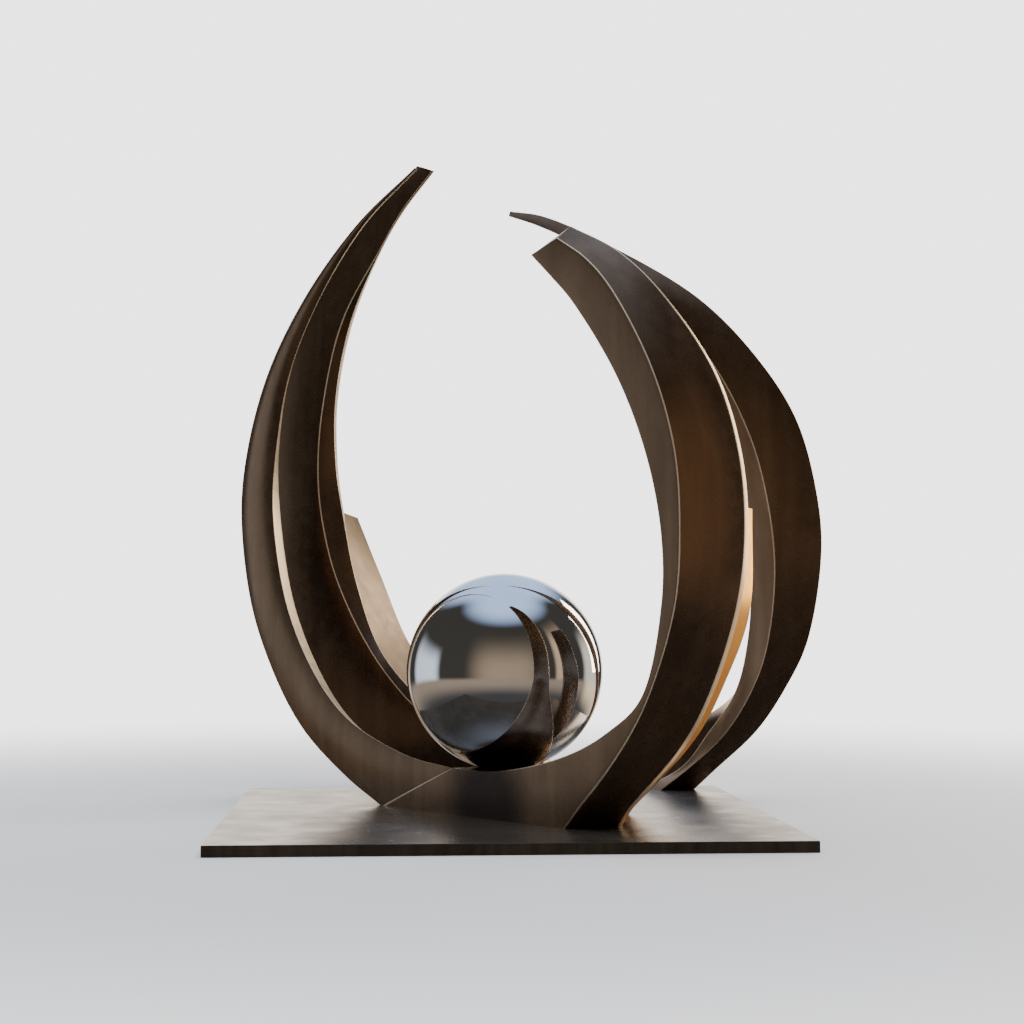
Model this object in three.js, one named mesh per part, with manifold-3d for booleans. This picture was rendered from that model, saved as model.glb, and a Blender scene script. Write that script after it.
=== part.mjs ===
// Abstract metal sculpture: six crescent blades rise round a mirror-polished ball
// on a square base plate. Millimetres, +Z up, the viewer stands at -Y.
// The origin is the middle of the plate's underside.
import * as THREE from 'three';
import { mergeVertices } from 'three/addons/utils/BufferGeometryUtils.js';
import Module from 'manifold-3d';

const wasm = await Module();
wasm.setup();

// Driving dimensions
const PLATE_SIDE = 4000;
const PLATE_THICK = 77;
const BALL_RADIUS = 737;
const BALL_CENTRE = new THREE.Vector3(60, 0, 1122);
const GAP = 0.4;
const RINGS_PER_SPAN = 7;
const TRIM_SIZE = 9000;

// The two front blades share one upright plane. Its normal points to the rear right.
const FRONT_SLOPE = -1.342;
const FRONT_NORMAL = new THREE.Vector3(-FRONT_SLOPE, 1, 0).normalize();

// The front right blade ends in a narrow rim, one step wide.
const RIM_STEP = new THREE.Vector3(38, 62, 0);
const BACK = new THREE.Vector3(0, 1, 0);

// Materials
const bronze = new THREE.MeshStandardMaterial({ color: 0x3a2c22, roughness: 0.45, metalness: 0.9 });
const plateMetal = new THREE.MeshStandardMaterial({ color: 0x7a7068, roughness: 0.35, metalness: 0.9 });
const mirror = new THREE.MeshStandardMaterial({ color: 0xe6e8ea, roughness: 0.03, metalness: 1.0 });

// A rail is one long edge of a blade. It lies in a plane, y = at + perX * x + perZ * z,
// and runs from the foot to the tip through the given [x, z] stations.
function rail(at, perX, perZ, stations) {
  return stations.map(([x, z]) => new THREE.Vector3(x, at + perX * x + perZ * z, z));
}

// A neighbouring rail: every station moved by its own share of one direction.
function beside(stations, direction, shares) {
  return stations.map((point, i) => point.clone().addScaledVector(direction, shares[i]));
}

// A rail moved by a step of its own at every station.
function stepped(stations, steps) {
  return stations.map((point, i) => point.clone().add(new THREE.Vector3(...steps[i])));
}

// Lofts a closed skin through rails that are listed in order round the section.
function loft(rails) {
  const curves = rails.map((stations) => new THREE.CatmullRomCurve3(stations, false, 'centripetal'));
  const rings = (rails[0].length - 1) * RINGS_PER_SPAN;
  const sides = rails.length;
  const positions = [];
  const triangles = [];
  for (let ring = 0; ring <= rings; ring += 1) {
    curves.forEach((curve) => positions.push(...curve.getPoint(ring / rings).toArray()));
  }
  for (let ring = 0; ring < rings; ring += 1) {
    for (let side = 0; side < sides; side += 1) {
      const a = ring * sides + side;
      const b = ring * sides + ((side + 1) % sides);
      triangles.push(a, b, a + sides, b, b + sides, a + sides);
    }
  }
  const last = rings * sides;
  for (let side = 1; side < sides - 1; side += 1) {
    triangles.push(0, side + 1, side, last, last + side, last + side + 1);
  }
  const geometry = new THREE.BufferGeometry();
  geometry.setAttribute('position', new THREE.Float32BufferAttribute(positions, 3));
  geometry.setIndex(triangles);
  return geometry;
}

// Six times the volume inside a closed indexed skin, negative when it faces inward.
function signedVolume(geometry) {
  const position = geometry.getAttribute('position');
  const index = geometry.getIndex();
  const [a, b, c] = [new THREE.Vector3(), new THREE.Vector3(), new THREE.Vector3()];
  let sum = 0;
  for (let i = 0; i < index.count; i += 3) {
    a.fromBufferAttribute(position, index.getX(i));
    b.fromBufferAttribute(position, index.getX(i + 1));
    c.fromBufferAttribute(position, index.getX(i + 2));
    sum += a.dot(b.clone().cross(c));
  }
  return sum;
}

function toSolid(geometry) {
  geometry.deleteAttribute('normal');
  geometry.deleteAttribute('uv');
  const merged = mergeVertices(geometry);
  const index = Array.from(merged.getIndex().array);
  if (signedVolume(merged) < 0) {
    for (let i = 0; i < index.length; i += 3) {
      [index[i + 1], index[i + 2]] = [index[i + 2], index[i + 1]];
    }
  }
  return new wasm.Manifold(new wasm.Mesh({
    numProp: 3,
    vertProperties: new Float32Array(merged.getAttribute('position').array),
    triVerts: new Uint32Array(index),
  }));
}

function toGeometry(solid) {
  const mesh = solid.getMesh();
  const geometry = new THREE.BufferGeometry();
  geometry.setAttribute('position', new THREE.BufferAttribute(new Float32Array(mesh.vertProperties), 3));
  geometry.setIndex(new THREE.BufferAttribute(new Uint32Array(mesh.triVerts), 1));
  geometry.computeVertexNormals();
  return geometry;
}

// Everything below the plate's top is cut away, so each foot stands flat on the plate.
const belowPlate = new THREE.BoxGeometry(TRIM_SIZE, TRIM_SIZE, TRIM_SIZE);
belowPlate.translate(0, 0, PLATE_THICK + GAP - TRIM_SIZE / 2);
const ground = toSolid(belowPlate);

const sculpture = new THREE.Group();

function addPiece(name, geometry, material) {
  const mesh = new THREE.Mesh(geometry, material);
  mesh.name = name;
  sculpture.add(mesh);
}

// Base plate
const plate = new THREE.BoxGeometry(PLATE_SIDE, PLATE_SIDE, PLATE_THICK);
plate.translate(0, 0, PLATE_THICK / 2);
addPiece('base_plate', plate, plateMetal);

// Mirror ball
const ball = new THREE.SphereGeometry(BALL_RADIUS, 56, 34);
ball.rotateX(Math.PI / 2);
ball.translate(BALL_CENTRE.x, BALL_CENTRE.y, BALL_CENTRE.z);
addPiece('mirror_ball', ball, mirror);
const seat = new THREE.SphereGeometry(BALL_RADIUS + GAP, 56, 34);
seat.rotateX(Math.PI / 2);
seat.translate(BALL_CENTRE.x, BALL_CENTRE.y, BALL_CENTRE.z);

// Front right blade: a box section whose foot runs under the ball as its seat.
const rightInner = rail(-658, FRONT_SLOPE, 0, [
  [-339, 416], [-31, 426], [387, 566], [653, 752], [855, 1004], [966, 1604],
  [970, 2036], [899, 2542], [729, 3129], [454, 3719], [322, 3925], [192, 4114],
]);
const rightRidge = rail(-658, FRONT_SLOPE, 0, [
  [-866, 69], [121, -232], [527, 289], [774, 715], [905, 1040], [1045, 1616],
  [1072, 2128], [1046, 2619], [929, 3156], [694, 3752], [540, 4003], [361, 4193],
]);
const rightDepth = [700, 620, 520, 500, 540, 575, 600, 584, 515, 377, 270, 150];
const rightInnerBack = beside(rightInner, FRONT_NORMAL, rightDepth);
const rightOuter = [
  ...beside(rightRidge.slice(0, 2), FRONT_NORMAL, rightDepth),
  ...rail(-719, -0.662, 0, [
    [865, 252], [1161, 639], [1329, 974], [1514, 1605], [1565, 2126],
    [1529, 2651], [1383, 3196], [1030, 3807], [767, 4100], [468, 4303],
  ]),
];
const rightRim = beside(rightOuter, RIM_STEP, [1, 1, 1, 1, 1, 1, 0.95, 0.85, 0.7, 0.4, 0.25, 0.2]);
const frontRight = toSolid(loft([rightInner, rightRidge, rightOuter, rightRim, rightInnerBack]))
  .subtract(ground)
  .subtract(toSolid(seat));
addPiece('front_right', toGeometry(frontRight), bronze);

// Front left blade: a slim wedge in the same plane, ending against the foot of the right one.
const leftOuter = rail(-658, FRONT_SLOPE, 0, [
  [-868, 69], [-1165, 276], [-1541, 644], [-1813, 1127], [-2004, 1677], [-2097, 2438],
  [-2044, 2971], [-1861, 3592], [-1538, 4167], [-1089, 4676], [-631, 4998],
]);
const leftInner = rail(-658, FRONT_SLOPE, 0, [
  [-341, 416], [-693, 486], [-1160, 744], [-1448, 1123], [-1677, 1673], [-1796, 2418],
  [-1768, 2942], [-1655, 3559], [-1399, 4137], [-1030, 4653], [-612, 4985],
]);
const leftOuterBack = beside(leftOuter, FRONT_NORMAL, [
  250, 250, 250, 245, 240, 225, 210, 170, 120, 70, 30,
]);
const leftInnerBack = stepped(leftInner, [
  [-15, 150, -45], [-15, 150, -45], [29, 150, -15], [49, 150, 0], [58, 150, 0], [52, 150, 0],
  [12, 150, 0], [-4, 120, 0], [-5, 80, 0], [0, 50, 0], [5, 20, 0],
]);
const frontLeft = toSolid(loft([leftOuter, leftInner, leftInnerBack, leftOuterBack])).subtract(ground);
addPiece('front_left', toGeometry(frontLeft), bronze);

// Rear left blade: two faces folded along a thin ridge, with a narrow rim and a closed back.
const tallOuter = rail(1359, -0.62, 0.07, [
  [682, -31], [-99, 87], [-802, 294], [-1501, 782], [-1891, 1638],
  [-1978, 2581], [-1939, 3215], [-1706, 3976], [-1220, 4861], [-913, 5185], [-585, 5481],
]);
const tallRidge = rail(1226, -0.62, 0.07, [
  [406, 380], [-306, 555], [-855, 1074], [-1248, 1799], [-1403, 2377],
  [-1444, 2855], [-1397, 3439], [-1233, 4141], [-913, 4727], [-719, 5061], [-454, 5389],
]);
// The inner edge lies behind the ridge by the depth of the fold, which closes towards the tip.
const tallFold = [60, 60, 60, 192, 192, 192, 120, 70, 25, 28, 35];
const tallInner = beside(rail(1226, -0.62, 0.07, [
  [422, 568], [-300, 684], [-835, 1171], [-1086, 1792], [-1222, 2443],
  [-1286, 2872], [-1290, 3450], [-1160, 4128], [-903, 4722], [-708, 5058], [-440, 5390],
]), BACK, tallFold);
const tallRim = stepped(tallInner, [
  [-10, 150, 0], [-10, 150, 0], [-10, 150, 0], [-6, 150, 0], [6, 150, 0],
  [12, 150, 0], [12, 150, 0], [10, 140, 0], [-4, 110, 0], [-4, 85, 0], [-4, 60, 0],
]);
const rearLeft = toSolid(loft([tallOuter, tallRidge, tallInner, tallRim])).subtract(ground);
addPiece('rear_left', toGeometry(rearLeft), bronze);

// Rear right blade: a ridge between two faces, with a thin tip that leans over the opening.
const farInner = rail(2447, -0.463, -0.172, [
  [1325, 59], [1666, 275], [1850, 544], [2059, 909], [2146, 1341], [2158, 1958], [2097, 2572],
  [1956, 3063], [1651, 3676], [1250, 4235], [768, 4632], [442, 4821], [187, 4924],
]);
const farRidge = rail(2423, -0.563, -0.172, [
  [1230, -119], [1692, 284], [1968, 594], [2168, 994], [2256, 1345], [2289, 1950], [2205, 2552],
  [2069, 3020], [1790, 3585], [1349, 4137], [799, 4581], [446, 4792], [180, 4910],
]);
const farOuter = rail(2459, -0.446, -0.172, [
  [1497, -214], [1903, 221], [2250, 592], [2467, 963], [2616, 1335], [2701, 2059], [2651, 2544],
  [2486, 3128], [2195, 3614], [1725, 4137], [1011, 4620], [471, 4901], [198, 4964],
]);
const farInnerBack = stepped(farInner, [
  [-150, 260, 0], [-170, 260, 0], [-170, 260, 0], [60, 260, 0], [60, 260, 0], [90, 260, 0],
  [90, 250, 0], [80, 230, 0], [70, 200, 0], [60, 160, 20], [40, 110, 30], [20, 70, 30], [10, 35, 25],
]);
const rearRight = toSolid(loft([farInner, farRidge, farOuter, farInnerBack])).subtract(ground);
addPiece('rear_right', toGeometry(rearRight), bronze);

// Left stub: a short blade behind the tall one, with a level cut top.
const leftStubFront = rail(1700, -0.66, 0, [
  [399, -81], [-376, 524], [-955, 1295], [-1161, 1866], [-1336, 2501],
]);
const leftStubBack = rail(2250, -0.7, 0.05, [
  [639, -19], [-35, 501], [-627, 1289], [-877, 1876], [-1106, 2442],
]);
const leftStubStep = new THREE.Vector3(-110, 90, 0);
const leftStubShares = [1, 1, 1, 1, 1];
const leftStub = toSolid(loft([
  leftStubFront,
  leftStubBack,
  beside(leftStubBack, leftStubStep, leftStubShares),
  beside(leftStubFront, leftStubStep, leftStubShares),
])).subtract(ground);
addPiece('left_stub', toGeometry(leftStub), bronze);

// Right stub: a short blade between the two right ones.
const rightStubFront = rail(-147, -0.62, 0, [
  [760, -74], [1216, 626], [1412, 1082], [1562, 1567], [1586, 2330],
]);
const rightStubBack = rail(252, -0.52, 0, [
  [905, 13], [1439, 656], [1638, 1067], [1801, 1568], [1823, 2315],
]);
const rightStubStep = new THREE.Vector3(-200, 110, 0);
const rightStubShares = [0.65, 0.8, 1, 1, 1];
const rightStub = toSolid(loft([
  rightStubFront,
  rightStubBack,
  beside(rightStubBack, rightStubStep, rightStubShares),
  beside(rightStubFront, rightStubStep, rightStubShares),
])).subtract(ground);
addPiece('right_stub', toGeometry(rightStub), bronze);

export default sculpture;
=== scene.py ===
# %% [markdown]
# # Crescent blades round a mirror ball
#
# The object is an outdoor sculpture about 5.5 metres tall. Six curved blades of dark
# bronze-brown metal rise from a square plate, and a mirror-polished ball sits in the foot of
# one of them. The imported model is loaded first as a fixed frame. Every piece made here is in
# metres in that same frame, so nothing has to be fitted by eye. The frame's own box is kept,
# because the finished pieces may not grow past it.

import math

import bmesh
import bpy
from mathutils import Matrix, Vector


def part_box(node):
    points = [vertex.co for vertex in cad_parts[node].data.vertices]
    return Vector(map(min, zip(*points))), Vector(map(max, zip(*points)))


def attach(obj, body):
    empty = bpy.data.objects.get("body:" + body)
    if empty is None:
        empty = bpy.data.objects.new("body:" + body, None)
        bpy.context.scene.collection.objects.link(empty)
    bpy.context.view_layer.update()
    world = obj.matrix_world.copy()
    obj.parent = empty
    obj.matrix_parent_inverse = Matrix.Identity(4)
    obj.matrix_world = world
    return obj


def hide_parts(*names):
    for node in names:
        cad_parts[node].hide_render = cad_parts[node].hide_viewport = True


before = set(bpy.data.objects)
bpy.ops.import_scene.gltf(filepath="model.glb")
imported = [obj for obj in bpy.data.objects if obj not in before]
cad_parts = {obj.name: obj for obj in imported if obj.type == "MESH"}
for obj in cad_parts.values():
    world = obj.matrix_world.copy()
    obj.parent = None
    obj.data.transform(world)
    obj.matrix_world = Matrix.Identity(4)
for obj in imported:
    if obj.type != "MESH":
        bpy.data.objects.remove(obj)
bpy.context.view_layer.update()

# %% [markdown]
# ## The viewer
#
# The viewer stands in front of the plate, a little to its left, with the camera at eye level.
# A camera could be aimed with a constraint, but plain angles are easier to read: it is turned
# a few degrees to the right and tipped a few degrees up. The lens is the focal length in
# picture widths times the width of the sensor, because the picture is square.

# %% The camera
EYE = Vector((-0.782, -14.108, 1.534))
TURN_RIGHT = math.radians(3.643)
TIP_UP = math.radians(3.206)
FOCAL_IN_PICTURE_WIDTHS = 1.8246
SENSOR_MM = 36.0

camera = bpy.data.objects.new("viewer", bpy.data.cameras.new("viewer"))
camera.location = EYE
camera.rotation_euler = (math.pi / 2 + TIP_UP, 0.0, -TURN_RIGHT)
camera.data.sensor_width = SENSOR_MM
camera.data.lens = FOCAL_IN_PICTURE_WIDTHS * SENSOR_MM
bpy.context.collection.objects.link(camera)
bpy.context.scene.camera = camera
print("camera lens", round(camera.data.lens, 2), "mm")

# %% [markdown]
# ## Rails
#
# A blade on the real work looks cut from flat sheet, so most of its long edges lie in one
# upright or leaning plane each. Such an edge is called a rail here: a few stations in x and z,
# in millimetres, with y from the plane. The curve through them could be a Blender curve
# object, but a small function keeps the same smooth line as the solid model: a centripetal
# curve, which never loops or overshoots between stations that are unevenly spaced.

# %% Rails
MM = 0.001


def rail(plane, stations):
    """A long edge in the plane y = at + per_x * x + per_z * z, from the foot to the tip."""
    at, per_x, per_z = plane
    return [Vector((x, at + per_x * x + per_z * z, z)) * MM for x, z in stations]


def beside(stations, direction, shares):
    """A neighbouring rail: each station moved by its own share of one direction."""
    return [point + Vector(direction) * (share * MM) for point, share in zip(stations, shares)]


def stepped(stations, steps):
    """A neighbouring rail: each station moved by a step of its own."""
    return [point + Vector(step) * MM for point, step in zip(stations, steps)]


# %% The smooth curve along a rail
TINY = 1e-9


def along(stations, share):
    """The point at a share, from 0 to 1, of the way along a rail."""
    last = len(stations) - 1
    here = min(int(share * last), last - 1)
    part = share * last - here
    b, c = stations[here], stations[here + 1]
    a = stations[here - 1] if here > 0 else 2 * b - c
    d = stations[here + 2] if here + 2 <= last else 2 * c - b
    before, span, after = [max((q - p).length, TINY) ** 0.5 for p, q in ((a, b), (b, c), (c, d))]
    leave = ((b - a) / before - (c - a) / (before + span) + (c - b) / span) * span
    arrive = ((c - b) / span - (d - b) / (span + after) + (d - c) / after) * span
    square = 3 * (c - b) - 2 * leave - arrive
    cube = 2 * (b - c) + leave + arrive
    return b + (leave + (square + cube * part) * part) * part


# %% [markdown]
# ## The section of a blade
#
# Cut across, a blade is a box of four or five sheets welded along the rails. Two things make
# it read as real metal. Each weld is ground to a narrow rounded edge that catches the light,
# and a large sheet bows out a little between its welds. A bevel modifier would round the edges
# too, but it takes one width for the whole blade and is held back by the thin tip. So the
# rounding is part of the section, and it shrinks where the sheets get narrow.

# %% Points round one section
EDGE_WIDTH = 0.007
EDGE_SHARE = 0.22


def cut_back(corner, towards):
    """Where the rounding of a corner ends, on the way to the next corner."""
    reach = (towards - corner).length
    return corner.lerp(towards, min(EDGE_WIDTH / max(reach, TINY), EDGE_SHARE))


def section(corners, bows, steps):
    """The points round a section: two for each rounded corner's ends, one on its crest, and
    those of a sheet that bows out by its own share of its width."""
    middle = sum(corners, Vector()) / len(corners)
    points = []
    for here, corner in enumerate(corners):
        following = corners[(here + 1) % len(corners)]
        start = cut_back(corner, corners[here - 1])
        end = cut_back(corner, following)
        points += [start, (start + 2 * corner + end) / 4, end]
        far = cut_back(following, corner)
        width = far - end
        out = (end + far) / 2 - middle
        if width.length > TINY:
            out -= width * (out.dot(width) / width.length_squared)
        out.normalize()
        for step in range(1, steps[here]):
            share = step / steps[here]
            bow = 4 * share * (1 - share) * bows[here] * width.length
            points.append(end + width * share + out * bow)
    return points


# %% [markdown]
# ## Sweeping the section along the rails
#
# The skin starts as a plain circle of edges that is moved onto the first section. Extruding
# those edges again and again, and moving each new ring onto the next section, gives one skin
# of clean four-sided faces. The strips on the rounded corners take the second material, whose
# pale tone is partly ground metal and partly a painted highlight, and a sheet with a finish of
# its own takes the third. Where two blades meet foot to foot, the first ring is made very short
# and takes the pale edge finish too, which paints a fine bright seam as a highlight. The plate's
# top then cuts the foot level with a bisect, and the open ends are closed.

# %% Sections from the foot to the tip
RINGS_PER_SPAN = 16
SEAM_SHARE = 0.0015


def sections_along(rails, bows, steps, seam):
    """The sections of a blade. A sheet's bow is given for its foot and its tip."""
    rings = (len(rails[0]) - 1) * RINGS_PER_SPAN
    shares = [ring / rings for ring in range(rings + 1)]
    if seam:
        shares.insert(1, SEAM_SHARE)
    sections = []
    for share in shares:
        corners = [along(stations, share) for stations in rails]
        bows_here = [foot + (tip - foot) * share for foot, tip in bows]
        sections.append(section(corners, bows_here, steps))
    return sections


# %% One skin of extruded rings
SHEET, EDGE, LIGHT = 0, 1, 2


def next_ring(bm, ring, points):
    """Extrudes a ring of edges and moves the new one onto the given points."""
    count = len(ring)
    edges = [bm.edges.get((ring[i], ring[(i + 1) % count])) for i in range(count)]
    grown = bmesh.ops.extrude_edge_only(bm, edges=edges)["geom"]
    fresh = {part for part in grown if isinstance(part, bmesh.types.BMVert)}
    lifted = []
    for vertex, point in zip(ring, points):
        twin = next(e.other_vert(vertex) for e in vertex.link_edges if e.other_vert(vertex) in fresh)
        twin.co = point
        lifted.append(twin)
    return lifted


def skin(sections, strips, seam):
    """An open skin through the sections, with a finish for each of its lengthwise strips."""
    bm = bmesh.new()
    ring = bmesh.ops.create_circle(bm, cap_ends=False, segments=len(strips), radius=1.0)["verts"]
    for vertex, point in zip(ring, sections[0]):
        vertex.co = point
    for number, points in enumerate(sections[1:]):
        lifted = next_ring(bm, ring, points)
        for i, finish in enumerate(strips):
            j = (i + 1) % len(strips)
            face = bm.faces.get((ring[i], ring[j], lifted[j], lifted[i]))
            # The first short ring at a seam takes the pale edge finish: a painted highlight along the
            # seam.
            face.material_index = EDGE if seam and number == 0 else finish
        ring = lifted
    for face in bm.faces:
        face.smooth = True
    return bm


# %% A closed blade, cut level at the plate
PLATE_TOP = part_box("base_plate")[1][2]
FOOT_GAP = 0.0004


def close_ends(bm):
    """Fills every open loop with one flat face that has a crisp outline."""
    holes = [edge for edge in bm.edges if edge.is_boundary]
    for face in bmesh.ops.holes_fill(bm, edges=holes, sides=0)["faces"]:
        face.material_index = SHEET
        for edge in face.edges:
            edge.smooth = False


def sweep(rails, bows, steps, finishes, seam=False):
    """A closed blade along its rails, one sheet from each rail to the next."""
    strips = []
    for finish, count in zip(finishes, steps):
        # Each rounded corner's two strips take the pale edge finish, partly ground metal and partly a
        # painted highlight.
        strips += [EDGE, EDGE] + [finish] * count
    bm = skin(sections_along(rails, bows, steps, seam), strips, seam)
    close_ends(bm)
    everything = bm.verts[:] + bm.edges[:] + bm.faces[:]
    level = (0.0, 0.0, PLATE_TOP + FOOT_GAP)
    bmesh.ops.bisect_plane(bm, geom=everything, plane_co=level, plane_no=(0, 0, 1), clear_inner=True)
    close_ends(bm)
    bmesh.ops.recalc_face_normals(bm, faces=bm.faces[:])
    return bm


# %% A finished piece
def show(bm, name, node, materials):
    """Turns a bmesh into a finished piece that stands for a node of the frame."""
    mesh = bpy.data.meshes.new(name)
    bm.to_mesh(mesh)
    bm.free()
    for material in materials:
        mesh.materials.append(material)
    piece = bpy.data.objects.new(name, mesh)
    bpy.context.collection.objects.link(piece)
    normals = piece.modifiers.new("even_shading", "WEIGHTED_NORMAL")
    normals.keep_sharp = True
    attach(piece, "root")
    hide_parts(node)
    print(name, len(mesh.polygons), "faces")


# %% [markdown]
# ## Tools for finishes
#
# A finish on metal is never one flat colour, which would look like plastic. All the finishes
# here are built from the same few nodes: noise on the piece's own coordinates, a ramp that
# turns it into colours, a mix of two colours, a range for the roughness, and a bump. Image
# textures could do it too, but noise needs no unwrapping and runs on without a seam.

# %% A new material, and noise
def new_material(name):
    """A new material, with its node tree and its shader."""
    material = bpy.data.materials.new(name)
    material.use_nodes = True
    print("finish", name)
    return material, material.node_tree, material.node_tree.nodes["Principled BSDF"]


def noise(tree, scale, detail=3.0, stretch=(1.0, 1.0, 1.0)):
    """Noise with so many features to the metre, on the piece's own coordinates."""
    place = tree.nodes.new("ShaderNodeTexCoord")
    mapping = tree.nodes.new("ShaderNodeMapping")
    mapping.inputs["Scale"].default_value = stretch
    texture = tree.nodes.new("ShaderNodeTexNoise")
    texture.inputs["Scale"].default_value = scale
    texture.inputs["Detail"].default_value = detail
    tree.links.new(place.outputs["Object"], mapping.inputs["Vector"])
    tree.links.new(mapping.outputs["Vector"], texture.inputs["Vector"])
    return texture.outputs["Fac"]


# %% Colours
def ramp(tree, factor, stops):
    """Colours at their places between 0 and 1 of a factor."""
    node = tree.nodes.new("ShaderNodeValToRGB")
    elements = node.color_ramp.elements
    while len(elements) < len(stops):
        elements.new(0.5)
    for element, (position, colour) in zip(elements, stops):
        element.position = position
        element.color = (*colour, 1.0)
    tree.links.new(factor, node.inputs["Fac"])
    return node.outputs["Color"]


def blend(tree, factor, first, second):
    """Two colours mixed by a factor. Each of the three is a plain value or a socket."""
    node = tree.nodes.new("ShaderNodeMix")
    node.data_type = "RGBA"
    for name, value in (("Factor", factor), ("A", first), ("B", second)):
        if isinstance(value, bpy.types.NodeSocket):
            tree.links.new(value, node.inputs[name])
        else:
            node.inputs[name].default_value = value
    return node.outputs["Result"]


# %% Ranges and bumps
NOISE_LOW, NOISE_HIGH = 0.3, 0.7


def spread(tree, factor, low, high):
    """Noise spread over a range of values. Most of any noise lies between its low and high."""
    node = tree.nodes.new("ShaderNodeMapRange")
    node.inputs["From Min"].default_value = NOISE_LOW
    node.inputs["From Max"].default_value = NOISE_HIGH
    node.inputs["To Min"].default_value = low
    node.inputs["To Max"].default_value = high
    tree.links.new(factor, node.inputs["Value"])
    return node.outputs["Result"]


def rise(tree, value, start, end):
    """A smooth step from 0 to 1 while a value goes from start to end, up or down."""
    node = tree.nodes.new("ShaderNodeMapRange")
    node.interpolation_type = "SMOOTHSTEP"
    node.inputs["From Min"].default_value = start
    node.inputs["From Max"].default_value = end
    tree.links.new(value, node.inputs["Value"])
    return node.outputs["Result"]


def bump(tree, height, depth, strength, under=None):
    """A bump so many metres deep, on top of another one if it is given."""
    node = tree.nodes.new("ShaderNodeBump")
    node.inputs["Strength"].default_value = strength
    node.inputs["Distance"].default_value = depth
    tree.links.new(height, node.inputs["Height"])
    if under is not None:
        tree.links.new(under, node.inputs["Normal"])
    return node.outputs["Normal"]


# %% [markdown]
# ## Bronze-brown metal
#
# The sheets have a dark satin patina: brown, patchy over an arm's length, finely mottled up
# close, with faint streaks where rain runs down. The streaks are noise squeezed upright. Below
# the ball the foot is darkened round one point: painted shade under the ball. Two bumps do the
# rest: a fine grain, and the shallow waves of welded sheet. The same recipe gives every bronze
# finish. The welds, and a strip along each front blade, take a pale tone that is partly ground
# metal and partly a painted highlight, and the strips dull with height. One inner face is
# lighter, and each stub has a paler finish of its own, as painted light. The tint of the glint
# keeps a sheet warm where it mirrors the sky at a flat angle.

# %% Patina
PATCH_SCALE = 0.9
MOTTLE_SCALE = 9.0
MOTTLE_SHARE = 0.2
STREAK_SCALE = 6.0
STREAK_SQUEEZE = (1.0, 1.0, 0.07)
STREAK_SHARE = 0.3


def patina(tree, tones):
    """The patina's colour, and the fine mottle that the roughness follows too."""
    dark, mid, light = tones
    patches = ramp(tree, noise(tree, PATCH_SCALE), [(0.2, dark), (0.5, mid), (0.8, light)])
    mottle = noise(tree, MOTTLE_SCALE)
    fine = ramp(tree, mottle, [(0.3, dark), (0.7, light)])
    streaks = noise(tree, STREAK_SCALE, stretch=STREAK_SQUEEZE)
    rain = ramp(tree, streaks, [(0.4, dark), (0.62, light)])
    colour = blend(tree, STREAK_SHARE, blend(tree, MOTTLE_SHARE, patches, fine), rain)
    return colour, mottle


# %% Dull heights and the painted shade under the ball
DULL_TONE = (0.11, 0.066, 0.038, 1.0)
# Painted shade under the ball: the foot is darkened round this point.
UNDER_BALL_SHADE_PLACE = (-0.10, -0.525, 0.17)
UNDER_BALL_SHADE_TONE = (0.016, 0.010, 0.008, 1.0)
UNDER_BALL_SHADE_REACH = (0.62, 0.22)


def dulled_with_painted_shade(tree, colour, dulls):
    """A colour that dulls from one height to another, if asked, and darkens round one point of the foot
    as painted shade under the ball.
    """
    place = tree.nodes.new("ShaderNodeTexCoord").outputs["Object"]
    if dulls:
        parts = tree.nodes.new("ShaderNodeSeparateXYZ")
        tree.links.new(place, parts.inputs["Vector"])
        colour = blend(tree, rise(tree, parts.outputs["Z"], *dulls), colour, DULL_TONE)
    # Painted shade: darker round one point of the foot, under the ball.
    away = tree.nodes.new("ShaderNodeVectorMath")
    away.operation = "DISTANCE"
    away.inputs[1].default_value = UNDER_BALL_SHADE_PLACE
    tree.links.new(place, away.inputs[0])
    return blend(tree, rise(tree, away.outputs["Value"], *UNDER_BALL_SHADE_REACH), colour, UNDER_BALL_SHADE_TONE)


# %% Bronze metal
COAT, COAT_ROUGHNESS = 0.04, 0.3
WAVE_SCALE = 1.7
GRAIN_SCALE = 40.0


def bronze_metal(name, tones, roughness, metal, glint, dulls=None):
    """Weathered bronze from a dark, a middle and a light tone, darkened under the ball as painted
    shade.
    """
    material, tree, shader = new_material(name)
    colour, mottle = patina(tree, tones)
    tree.links.new(dulled_with_painted_shade(tree, colour, dulls), shader.inputs["Base Color"])
    tree.links.new(spread(tree, mottle, *roughness), shader.inputs["Roughness"])
    shader.inputs["Metallic"].default_value = metal
    shader.inputs["Specular Tint"].default_value = (*glint, 1.0)
    shader.inputs["Coat Weight"].default_value = COAT
    shader.inputs["Coat Roughness"].default_value = COAT_ROUGHNESS
    waves = bump(tree, noise(tree, WAVE_SCALE, detail=1.0), depth=0.02, strength=0.22)
    grain = bump(tree, noise(tree, GRAIN_SCALE, detail=2.0), depth=0.001, strength=0.05, under=waves)
    tree.links.new(grain, shader.inputs["Normal"])
    return material


# %% Dark sheet, and pale ground metal with a painted highlight
# Pale tones for the welds and strips: partly ground metal, partly a painted highlight where the edges
# catch the low light.
GROUND_METAL_AND_HIGHLIGHT_TONES = [(0.52, 0.40, 0.27), (0.62, 0.50, 0.36), (0.72, 0.60, 0.45)]
GROUND_ROUGHNESS = (0.28, 0.38)

sheet_bronze = bronze_metal(
    "sheet_bronze",
    tones=[(0.085, 0.050, 0.028), (0.125, 0.076, 0.045), (0.170, 0.108, 0.066)],
    roughness=(0.22, 0.31),
    metal=0.85,
    glint=(1.0, 0.88, 0.76),
)
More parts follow.
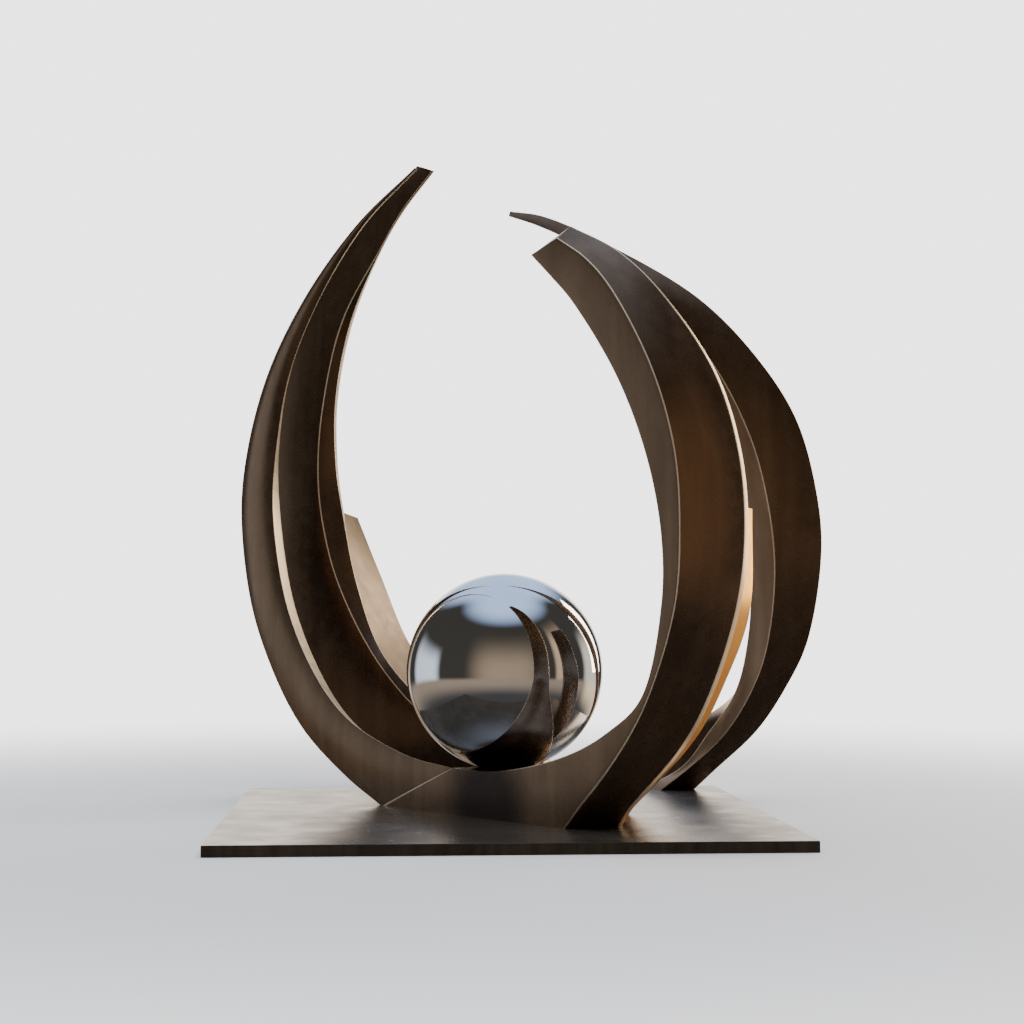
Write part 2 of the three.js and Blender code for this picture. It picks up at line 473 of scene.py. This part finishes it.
# The welds' pale finish: partly ground metal, partly a painted highlight.
ground_edge_painted_highlight = bronze_metal(
    "ground_edge_painted_highlight", GROUND_METAL_AND_HIGHLIGHT_TONES, GROUND_ROUGHNESS, metal=0.5, glint=(1.0, 0.86, 0.68)
)
# The strips' pale tone is a painted highlight, partly ground metal; it dulls to the dark tone between
# 3.0 and 4.2 m up.
ground_strip_painted_highlight = bronze_metal(
    "ground_strip_painted_highlight", GROUND_METAL_AND_HIGHLIGHT_TONES, GROUND_ROUGHNESS, metal=0.6, glint=(1.0, 0.80, 0.58), dulls=(3.0, 4.2)
)
BLADE_METAL = [sheet_bronze, ground_edge_painted_highlight]

# %% Lighter bronzes, painted light
# A lighter copy of the bronze for a face that catches the low light: painted light.
inner_painted_light_bronze = bronze_metal(
    "inner_painted_light_bronze",
    tones=[(0.20, 0.125, 0.075), (0.29, 0.185, 0.115), (0.38, 0.25, 0.16)],
    roughness=(0.28, 0.38),
    metal=0.75,
    glint=(1.0, 0.86, 0.70),
)
# A paler, duller copy of the bronze for the left stub's lit face: painted light.
stub_painted_light_bronze = bronze_metal(
    "stub_painted_light_bronze",
    tones=[(0.15, 0.108, 0.075), (0.195, 0.145, 0.105), (0.24, 0.185, 0.14)],
    roughness=(0.32, 0.42),
    metal=0.85,
    glint=(0.85, 0.74, 0.62),
)
# A pale golden copy of the bronze for the right stub's face: painted glow of the low warm light.
golden_painted_glow_bronze = bronze_metal(
    "golden_painted_glow_bronze",
    tones=[(0.50, 0.31, 0.14), (0.60, 0.39, 0.18), (0.70, 0.48, 0.24)],
    roughness=(0.27, 0.36),
    metal=0.85,
    glint=(0.86, 0.46, 0.17),
)

# %% [markdown]
# ## The base plate
#
# A square slab with a satin top, pale where it mirrors the sky, and a darker edge that rain has
# streaked. A cube scaled to the frame's box has the right form at once. Its edges are bevelled
# a little, because a sawn plate never has a perfectly sharp edge, and every face that doesn't
# look up takes the darker finish.

# %% Plate finishes
STAIN_SCALE = 2.4
CLOUD_SCALE = 0.8
PLATE_METALLIC = 0.8


def plate_metal(name, dark, light, roughness, stretch):
    """Satin plate whose stains are drawn out along one direction."""
    material, tree, shader = new_material(name)
    stains = ramp(tree, noise(tree, STAIN_SCALE, 5.0, stretch), [(0.32, dark), (0.68, light)])
    clouds = ramp(tree, noise(tree, CLOUD_SCALE), [(0.35, dark), (0.65, light)])
    tree.links.new(blend(tree, 0.5, stains, clouds), shader.inputs["Base Color"])
    tree.links.new(spread(tree, noise(tree, 3.0, 4.0), *roughness), shader.inputs["Roughness"])
    shader.inputs["Metallic"].default_value = PLATE_METALLIC
    return material


plate_top = plate_metal(
    "plate_top",
    dark=(0.115, 0.100, 0.086),
    light=(0.205, 0.180, 0.152),
    roughness=(0.20, 0.30),
    stretch=(0.35, 1.0, 1.0),
)
plate_edge = plate_metal(
    "plate_edge",
    dark=(0.040, 0.034, 0.029),
    light=(0.11, 0.094, 0.080),
    roughness=(0.42, 0.56),
    stretch=(5.0, 5.0, 0.4),
)

# %% The plate
PLATE_BEVEL = 0.004
LOOKS_UP = 0.9
TOP, SIDE = 0, 1

plate_low, plate_high = [Vector(corner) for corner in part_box("base_plate")]
bm = bmesh.new()
bmesh.ops.create_cube(bm, size=1.0)
bmesh.ops.scale(bm, vec=plate_high - plate_low, verts=bm.verts[:])
bmesh.ops.translate(bm, vec=(plate_low + plate_high) / 2, verts=bm.verts[:])
bmesh.ops.bevel(
    bm, geom=bm.edges[:], offset=PLATE_BEVEL, offset_type="OFFSET", segments=3, profile=0.5,
    affect="EDGES", material=-1,
)
for face in bm.faces:
    face.material_index = TOP if face.normal.z > LOOKS_UP else SIDE
    face.smooth = True
show(bm, "plate_slab", "base_plate", [plate_top, plate_edge])

# %% [markdown]
# ## The mirror ball
#
# A polished steel ball shows everything round it, so its skin has to be even. A UV sphere
# pinches at its poles, which a mirror gives away at once. A cube with its faces subdivided and
# every vertex pushed out to one distance has no pole and nearly equal faces. Real polished
# sheet is never quite true, so a very shallow, broad bump lets the reflections swim a little.

# %% Mirror polish
BRIGHT_STEEL = (0.90, 0.91, 0.92)
GREYER_STEEL = (0.80, 0.81, 0.83)
HAZE = (0.025, 0.06)

mirror_polish, tree, shader = new_material("mirror_polish")
haze = noise(tree, 5.0, 4.0)
polish = ramp(tree, noise(tree, 1.6), [(0.35, GREYER_STEEL), (0.65, BRIGHT_STEEL)])
tree.links.new(polish, shader.inputs["Base Color"])
tree.links.new(spread(tree, haze, *HAZE), shader.inputs["Roughness"])
shader.inputs["Metallic"].default_value = 1.0
swim = bump(tree, noise(tree, 2.2, detail=1.0), depth=0.012, strength=0.1)
tree.links.new(swim, shader.inputs["Normal"])

# %% The ball
BALL_CUTS = 47

ball_low, ball_high = [Vector(corner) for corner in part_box("mirror_ball")]
BALL_CENTRE = (ball_low + ball_high) / 2
BALL_RADIUS = (ball_high.z - ball_low.z) / 2
bm = bmesh.new()
bmesh.ops.create_cube(bm, size=2.0)
bmesh.ops.subdivide_edges(bm, edges=bm.edges[:], cuts=BALL_CUTS, use_grid_fill=True)
for vertex in bm.verts:
    even = Vector([math.tan(v * math.pi / 4) for v in vertex.co])
    vertex.co = BALL_CENTRE + even.normalized() * BALL_RADIUS
for face in bm.faces:
    face.smooth = True
show(bm, "polished_ball", "mirror_ball", [mirror_polish])

# %% [markdown]
# ## The front right blade
#
# This is the broad blade on the right. Its foot runs under the ball and carries it, so the
# section is a deep box: a narrow face towards the viewer's left, a wide dark face on the right,
# a thin pale rim that narrows towards the tip, and a hidden back. The wide face ends in a plane
# of its own, which turns it away from the viewer. The ball is sunk a little into the foot. A
# boolean could cut that seat, but pushing the few points that lie inside the ball out to its
# surface gives the same dish and keeps the skin clean. The sheet under the ball has more steps
# across, so that the dish comes out round.

# %% Rails of the front right blade
FRONT_SLOPE = -1.342
FRONT_PLANE = (-658, FRONT_SLOPE, 0)
FRONT_NORMAL = Vector((-FRONT_SLOPE, 1.0, 0.0)).normalized()
WIDE_FACE_PLANE = (-719, -0.662, 0)
RIM_STEP = (38, 62, 0)

right_inner = rail(FRONT_PLANE, [
    (-339, 416), (-31, 426), (387, 566), (653, 752), (855, 1004), (966, 1604),
    (970, 2036), (899, 2542), (729, 3129), (454, 3719), (322, 3925), (192, 4114),
])
right_ridge = rail(FRONT_PLANE, [
    (-866, 69), (121, -232), (527, 289), (774, 715), (905, 1040), (1045, 1616),
    (1072, 2128), (1046, 2619), (929, 3156), (694, 3752), (540, 4003), (361, 4193),
])
right_depth = [700, 620, 520, 500, 540, 575, 600, 584, 515, 377, 270, 150]
right_inner_back = beside(right_inner, FRONT_NORMAL, right_depth)
right_foot = beside(right_ridge[:2], FRONT_NORMAL, right_depth)
right_outer = right_foot + rail(WIDE_FACE_PLANE, [
    (865, 252), (1161, 639), (1329, 974), (1514, 1605), (1565, 2126),
    (1529, 2651), (1383, 3196), (1030, 3807), (767, 4100), (468, 4303),
])
right_rim = beside(right_outer, RIM_STEP, [1, 1, 1, 1, 1, 1, 0.95, 0.85, 0.7, 0.4, 0.25, 0.2])
print("front right blade", len(right_inner), "stations on each rail")

# %% Front right blade
FLAT = (0.0, 0.0)
FACE_STEPS = 8
RIM_STEPS = 2
SEAT_STEPS = 12
SEAT_GAP = 0.002

bm = sweep(
    [right_inner, right_ridge, right_outer, right_rim, right_inner_back],
    bows=[(0.008, 0.008), (0.03, 0.03), FLAT, FLAT, FLAT],
    steps=[FACE_STEPS, FACE_STEPS, RIM_STEPS, FACE_STEPS, SEAT_STEPS],
    finishes=[SHEET, SHEET, LIGHT, SHEET, SHEET],
    seam=True,
)
for vertex in bm.verts:
    away = vertex.co - BALL_CENTRE
    if away.length < BALL_RADIUS + SEAT_GAP:
        vertex.co = BALL_CENTRE + away.normalized() * (BALL_RADIUS + SEAT_GAP)
# The rim takes the pale strip finish: a painted highlight, partly ground metal, that dulls with height.
show(bm, "front_right_blade", "front_right", BLADE_METAL + [ground_strip_painted_highlight])

# %% [markdown]
# ## The front left blade
#
# A slim wedge that stands in the same plane as the front right blade and meets its foot. Its
# face looks at the viewer and bows out more and more towards the tip. Its inner edge is a
# narrow strip that turns to the right and catches the low light; its pale tone is partly ground
# metal and partly a painted highlight. Four rails are enough: the two of the face, and two
# behind them.

# %% Front left blade
STRIP_STEPS = 3

left_outer = rail(FRONT_PLANE, [
    (-868, 69), (-1165, 276), (-1541, 644), (-1813, 1127), (-2004, 1677), (-2097, 2438),
    (-2044, 2971), (-1861, 3592), (-1538, 4167), (-1089, 4676), (-631, 4998),
])
left_inner = rail(FRONT_PLANE, [
    (-341, 416), (-693, 486), (-1160, 744), (-1448, 1123), (-1677, 1673), (-1796, 2418),
    (-1768, 2942), (-1655, 3559), (-1399, 4137), (-1030, 4653), (-612, 4985),
])
left_outer_back = beside(left_outer, FRONT_NORMAL, [
    250, 250, 250, 245, 240, 225, 210, 170, 120, 70, 30,
])
left_inner_back = stepped(left_inner, [
    (-15, 150, -45), (-15, 150, -45), (29, 150, -15), (49, 150, 0), (58, 150, 0), (52, 150, 0),
    (12, 150, 0), (-4, 120, 0), (-5, 80, 0), (0, 50, 0), (5, 20, 0),
])
bm = sweep(
    [left_outer, left_inner, left_inner_back, left_outer_back],
    bows=[(0.008, 0.16), FLAT, FLAT, FLAT],
    steps=[FACE_STEPS, STRIP_STEPS, FACE_STEPS, STRIP_STEPS],
    finishes=[SHEET, LIGHT, SHEET, SHEET],
)
# The inner strip takes the pale strip finish: partly ground metal, partly a painted highlight.
show(bm, "front_left_blade", "front_left", BLADE_METAL + [ground_strip_painted_highlight])

# %% [markdown]
# ## The rear left blade
#
# The tallest blade is folded: two faces meet in a sharp ridge that runs from the foot to the
# tip, and the inner face ends in a narrow rim. The ridge stands forward of the other rails.
# The outer rail lies in a parallel plane a hand's width further back. The inner rail starts
# in the ridge's plane and is moved straight back by the depth of the fold, which is deepest
# in the middle and shallow at the foot and the tip.

# %% Rear left blade
RIDGE_AT, TALL_TURN, TALL_LEAN = 1226, -0.62, 0.07
OUTER_SETBACK = 133
RIDGE_PLANE = (RIDGE_AT, TALL_TURN, TALL_LEAN)
OUTER_PLANE = (RIDGE_AT + OUTER_SETBACK, TALL_TURN, TALL_LEAN)
BACK = (0, 1, 0)

tall_outer = rail(OUTER_PLANE, [
    (682, -31), (-99, 87), (-802, 294), (-1501, 782), (-1891, 1638),
    (-1978, 2581), (-1939, 3215), (-1706, 3976), (-1220, 4861), (-913, 5185), (-585, 5481),
])
tall_ridge = rail(RIDGE_PLANE, [
    (406, 380), (-306, 555), (-855, 1074), (-1248, 1799), (-1403, 2377),
    (-1444, 2855), (-1397, 3439), (-1233, 4141), (-913, 4727), (-719, 5061), (-454, 5389),
])
tall_flat = rail(RIDGE_PLANE, [
    (422, 568), (-300, 684), (-835, 1171), (-1086, 1792), (-1222, 2443),
    (-1286, 2872), (-1290, 3450), (-1160, 4128), (-903, 4722), (-708, 5058), (-440, 5390),
])
tall_fold = [60, 60, 60, 192, 192, 192, 120, 70, 25, 28, 35]
tall_inner = beside(tall_flat, BACK, tall_fold)
tall_rim = stepped(tall_inner, [
    (-10, 150, 0), (-10, 150, 0), (-10, 150, 0), (-6, 150, 0), (6, 150, 0),
    (12, 150, 0), (12, 150, 0), (10, 140, 0), (-4, 110, 0), (-4, 85, 0), (-4, 60, 0),
])
bm = sweep(
    [tall_outer, tall_ridge, tall_inner, tall_rim],
    bows=[(0.02, 0.03), (0.01, 0.01), FLAT, FLAT],
    steps=[FACE_STEPS, FACE_STEPS, RIM_STEPS, FACE_STEPS],
    finishes=[SHEET] * 4,
)
show(bm, "rear_left_blade", "rear_left", BLADE_METAL)

# %% [markdown]
# ## The rear right blade
#
# This blade leans in from the far right and ends in a thin tip above the opening. It is folded
# along a ridge as the tall one is, but each of its three front rails has a plane of its own.
# The narrow inner face on the left is a lighter bronze, painted light for the low light it
# catches, and the wide face on the right is dark.

# %% Rear right blade
FAR_LEAN = -0.172
INNER_STEPS = 4

far_inner = rail((2447, -0.463, FAR_LEAN), [
    (1325, 59), (1666, 275), (1850, 544), (2059, 909), (2146, 1341), (2158, 1958), (2097, 2572),
    (1956, 3063), (1651, 3676), (1250, 4235), (768, 4632), (442, 4821), (187, 4924),
])
far_ridge = rail((2423, -0.563, FAR_LEAN), [
    (1230, -119), (1692, 284), (1968, 594), (2168, 994), (2256, 1345), (2289, 1950), (2205, 2552),
    (2069, 3020), (1790, 3585), (1349, 4137), (799, 4581), (446, 4792), (180, 4910),
])
far_outer = rail((2459, -0.446, FAR_LEAN), [
    (1497, -214), (1903, 221), (2250, 592), (2467, 963), (2616, 1335), (2701, 2059), (2651, 2544),
    (2486, 3128), (2195, 3614), (1725, 4137), (1011, 4620), (471, 4901), (198, 4964),
])
far_inner_back = stepped(far_inner, [
    (-150, 260, 0), (-170, 260, 0), (-170, 260, 0), (60, 260, 0), (60, 260, 0),
    (90, 260, 0), (90, 250, 0), (80, 230, 0), (70, 200, 0), (60, 160, 20),
    (40, 110, 30), (20, 70, 30), (10, 35, 25),
])
bm = sweep(
    [far_inner, far_ridge, far_outer, far_inner_back],
    bows=[(0.02, 0.02), (0.04, 0.03), FLAT, FLAT],
    steps=[INNER_STEPS, FACE_STEPS, FACE_STEPS, STRIP_STEPS],
    finishes=[LIGHT, SHEET, SHEET, SHEET],
)
# The inner face's lighter bronze is painted light.
show(bm, "rear_right_blade", "rear_right", BLADE_METAL + [inner_painted_light_bronze])

# %% [markdown]
# ## The two stubs
#
# Two short blades with nearly level tops stand further in: one behind the tall blade on the
# left, and one between the two blades on the right. Each is a plain curved box: a front rail
# and a back rail, and the same two moved sideways by the thickness of the blade. The sheet
# between the front and the back rail has a finish of its own, paler than the other sheets as
# painted light: a duller pale bronze on the left stub, where the low light falls on it, and a
# golden one on the right, with hardly any patina, which paints the warm glow.

# %% Left and right stub
def curved_box(front, back, step, shares):
    """The rails of a box whose thickness is a share of one step."""
    return [front, back, beside(back, step, shares), beside(front, step, shares)]


left_stub = curved_box(
    rail((1700, -0.66, 0), [(399, -81), (-376, 524), (-955, 1295), (-1161, 1866), (-1336, 2501)]),
    rail((2250, -0.7, 0.05), [(639, -19), (-35, 501), (-627, 1289), (-877, 1876), (-1106, 2442)]),
    step=(-110, 90, 0),
    shares=[1, 1, 1, 1, 1],
)
right_stub = curved_box(
    rail((-147, -0.62, 0), [(760, -74), (1216, 626), (1412, 1082), (1562, 1567), (1586, 2330)]),
    rail((252, -0.52, 0), [(905, 13), (1439, 656), (1638, 1067), (1801, 1568), (1823, 2315)]),
    step=(-200, 110, 0),
    shares=[0.65, 0.8, 1, 1, 1],
)
# Each stub's front sheet takes its paler finish: painted light.
for name, rails, finish in (
    ("left_stub", left_stub, stub_painted_light_bronze),
    ("right_stub", right_stub, golden_painted_glow_bronze),
):
    bm = sweep(
        rails,
        bows=[FLAT] * 4,
        steps=[FACE_STEPS, STRIP_STEPS, FACE_STEPS, STRIP_STEPS],
        finishes=[LIGHT, SHEET, SHEET, SHEET],
    )
    show(bm, name + "_blade", name, BLADE_METAL + [finish])

# %% [markdown]
# ## Floor
#
# A wide pale disc under the plate. Seen from eye level, its far rim would draw a hard line
# across the picture, so the disc fades to clear well before the rim and the plain background
# takes over. The metal doesn't mirror the disc: it mirrors the darker ground that the sky
# below brings with it.

# %% Floor paint
FLOOR_TONE = (0.74, 0.73, 0.72, 1.0)
FLOOR_ROUGHNESS = 0.75
FADE_FROM, FADE_TO = 4.0, 15.0

floor_paint, tree, shader = new_material("floor_paint")
shader.inputs["Base Color"].default_value = FLOOR_TONE
shader.inputs["Roughness"].default_value = FLOOR_ROUGHNESS
place = tree.nodes.new("ShaderNodeTexCoord")
reach = tree.nodes.new("ShaderNodeVectorMath")
reach.operation = "LENGTH"
tree.links.new(place.outputs["Object"], reach.inputs[0])
fade = rise(tree, reach.outputs["Value"], FADE_TO, FADE_FROM)
tree.links.new(fade, shader.inputs["Alpha"])

# %% The floor
FLOOR_RADIUS = 60.0
FLOOR_SIDES = 96

bm = bmesh.new()
bmesh.ops.create_circle(bm, cap_ends=True, segments=FLOOR_SIDES, radius=FLOOR_RADIUS)
floor_mesh = bpy.data.meshes.new("floor")
bm.to_mesh(floor_mesh)
bm.free()
floor_mesh.materials.append(floor_paint)
floor = bpy.data.objects.new("floor", floor_mesh)
floor.visible_glossy = False
bpy.context.collection.objects.link(floor)
print("floor", FLOOR_RADIUS, "m")

# %% [markdown]
# ## Lamps
#
# The real work stands in late, warm light. One large warm panel, low behind it on the right,
# touches the rims with a glow. A second panel high above lights the floor evenly. The metal
# doesn't mirror that one, because a bright square on the ball would give the studio away.

# %% The glow and the floor light
def panel(name, place, aim, size, watts, colour):
    """A soft light panel that faces a point."""
    light = bpy.data.lights.new(name, "AREA")
    light.shape = "RECTANGLE"
    light.size, light.size_y = size
    light.energy = watts
    light.color = colour
    lamp = bpy.data.objects.new(name, light)
    lamp.location = place
    lamp.rotation_euler = (Vector(aim) - Vector(place)).to_track_quat("-Z", "Y").to_euler()
    lamp.visible_camera = False
    bpy.context.collection.objects.link(lamp)
    print(name, watts, "W")
    return lamp


panel(
    "low_glow",
    place=(13.0, 10.9, 6.5),
    aim=(0.0, 0.0, 2.5),
    size=(7.0, 12.0),
    watts=2100.0,
    colour=(1.0, 0.88, 0.72),
)
floor_light = panel(
    "floor_light",
    place=(0.0, 0.0, 20.0),
    aim=(0.0, 0.0, 0.0),
    size=(30.0, 30.0),
    watts=7500.0,
    colour=(1.0, 0.99, 0.97),
)
floor_light.visible_glossy = False

# %% [markdown]
# ## The sky
#
# Satin metal shows mostly what it mirrors, so the sky matters more than any lamp. A picture of
# a sky would be the usual way, but a few soft sectors are easier to place where a face needs
# them. The sky is blue overhead and bright towards the back. A low band all round is dark, so
# that the blades stay dark, with a few paler sectors in it. Below the horizon lies a dark
# ground, paler in the distance and warm where the low glow falls on it. The camera itself sees
# a single plain pale tone.

# %% Colours and places in the sky
BACKDROP = (3.2, 3.2, 3.2, 1.0)
BAND_TONE = (0.050, 0.046, 0.040, 1.0)
OVERHEAD_TONE = (0.68, 0.92, 1.38, 1.0)
OVERHEAD_HEIGHTS = (0.78, 0.985)
# Each paler sector of the band: its compass direction, the cosines where it fades in and is
# full, the heights between which it ends, and its colour.
LOW_SECTORS = [
    ((-0.940, 0.342, 0.0), (0.890, 0.972), (0.10, 0.40), (0.86, 0.96, 1.08, 1.0)),
    ((0.951, -0.309, 0.0), (0.962, 0.988), (0.40, 0.80), (0.62, 0.44, 0.30, 1.0)),
    ((0.000, -1.000, 0.0), (0.600, 1.000), (0.05, 0.75), (0.38, 0.29, 0.205, 1.0)),
    ((0.866, 0.500, 0.0), (0.940, 0.990), (0.15, 0.50), (0.90, 0.82, 0.72, 1.0)),
]
BACK_SECTOR = ((0.0, 1.0, 0.0), (0.895, 0.980))
BACK_TONE = (2.25, 2.00, 1.73, 1.0)
BACK_HEIGHTS = (0.15, 0.50)
HIGH_BACK = ((0.0, 0.6, 0.8), (0.80, 0.95))
NEAR_GROUND = (0.060, 0.060, 0.063, 1.0)
FAR_GROUND = (0.34, 0.27, 0.21, 1.0)
FAR_HEIGHTS = (-0.45, -0.18)
LIT_SECTOR = ((0.743, 0.669, 0.0), (0.860, 0.970))
LIT_GROUND = (1.15, 0.90, 0.62, 1.0)
HORIZON_HEIGHTS = (-0.16, -0.08)

# %% Height and compass direction
sky = bpy.data.worlds.new("sky")
bpy.context.scene.world = sky
sky.use_nodes = True
tree = sky.node_tree
look = tree.nodes.new("ShaderNodeTexCoord").outputs["Generated"]
parts = tree.nodes.new("ShaderNodeSeparateXYZ")
tree.links.new(look, parts.inputs["Vector"])
height = parts.outputs["Z"]
level = tree.nodes.new("ShaderNodeVectorMath")
level.operation = "MULTIPLY"
level.inputs[1].default_value = (1.0, 1.0, 0.0)
tree.links.new(look, level.inputs[0])
unit = tree.nodes.new("ShaderNodeVectorMath")
unit.operation = "NORMALIZE"
tree.links.new(level.outputs["Vector"], unit.inputs[0])
compass = unit.outputs["Vector"]


def sector(view, direction, fades):
    """1 in one sector of the sky, 0 outside it."""
    facing = tree.nodes.new("ShaderNodeVectorMath")
    facing.operation = "DOT_PRODUCT"
    facing.inputs[1].default_value = direction
    tree.links.new(view, facing.inputs[0])
    return rise(tree, facing.outputs["Value"], *fades)


# %% The sky put together
around = BAND_TONE
for direction, fades, ends, colour in LOW_SECTORS:
    lower = blend(tree, rise(tree, height, *ends), colour, BAND_TONE)
    around = blend(tree, sector(compass, direction, fades), around, lower)
behind = blend(tree, rise(tree, height, *BACK_HEIGHTS), BACK_TONE, OVERHEAD_TONE)
around = blend(tree, sector(compass, *BACK_SECTOR), around, behind)
far = blend(tree, sector(compass, *LIT_SECTOR), FAR_GROUND, LIT_GROUND)
ground = blend(tree, rise(tree, height, *FAR_HEIGHTS), NEAR_GROUND, far)
around = blend(tree, rise(tree, height, *HORIZON_HEIGHTS), ground, around)
around = blend(tree, sector(look, *HIGH_BACK), around, OVERHEAD_TONE)
mirrored = blend(tree, rise(tree, height, *OVERHEAD_HEIGHTS), around, OVERHEAD_TONE)
rays = tree.nodes.new("ShaderNodeLightPath")
seen = blend(tree, rays.outputs["Is Camera Ray"], mirrored, BACKDROP)
tree.links.new(seen, tree.nodes["Background"].inputs["Color"])
print("sky with", len(LOW_SECTORS) + 1, "bright sectors")
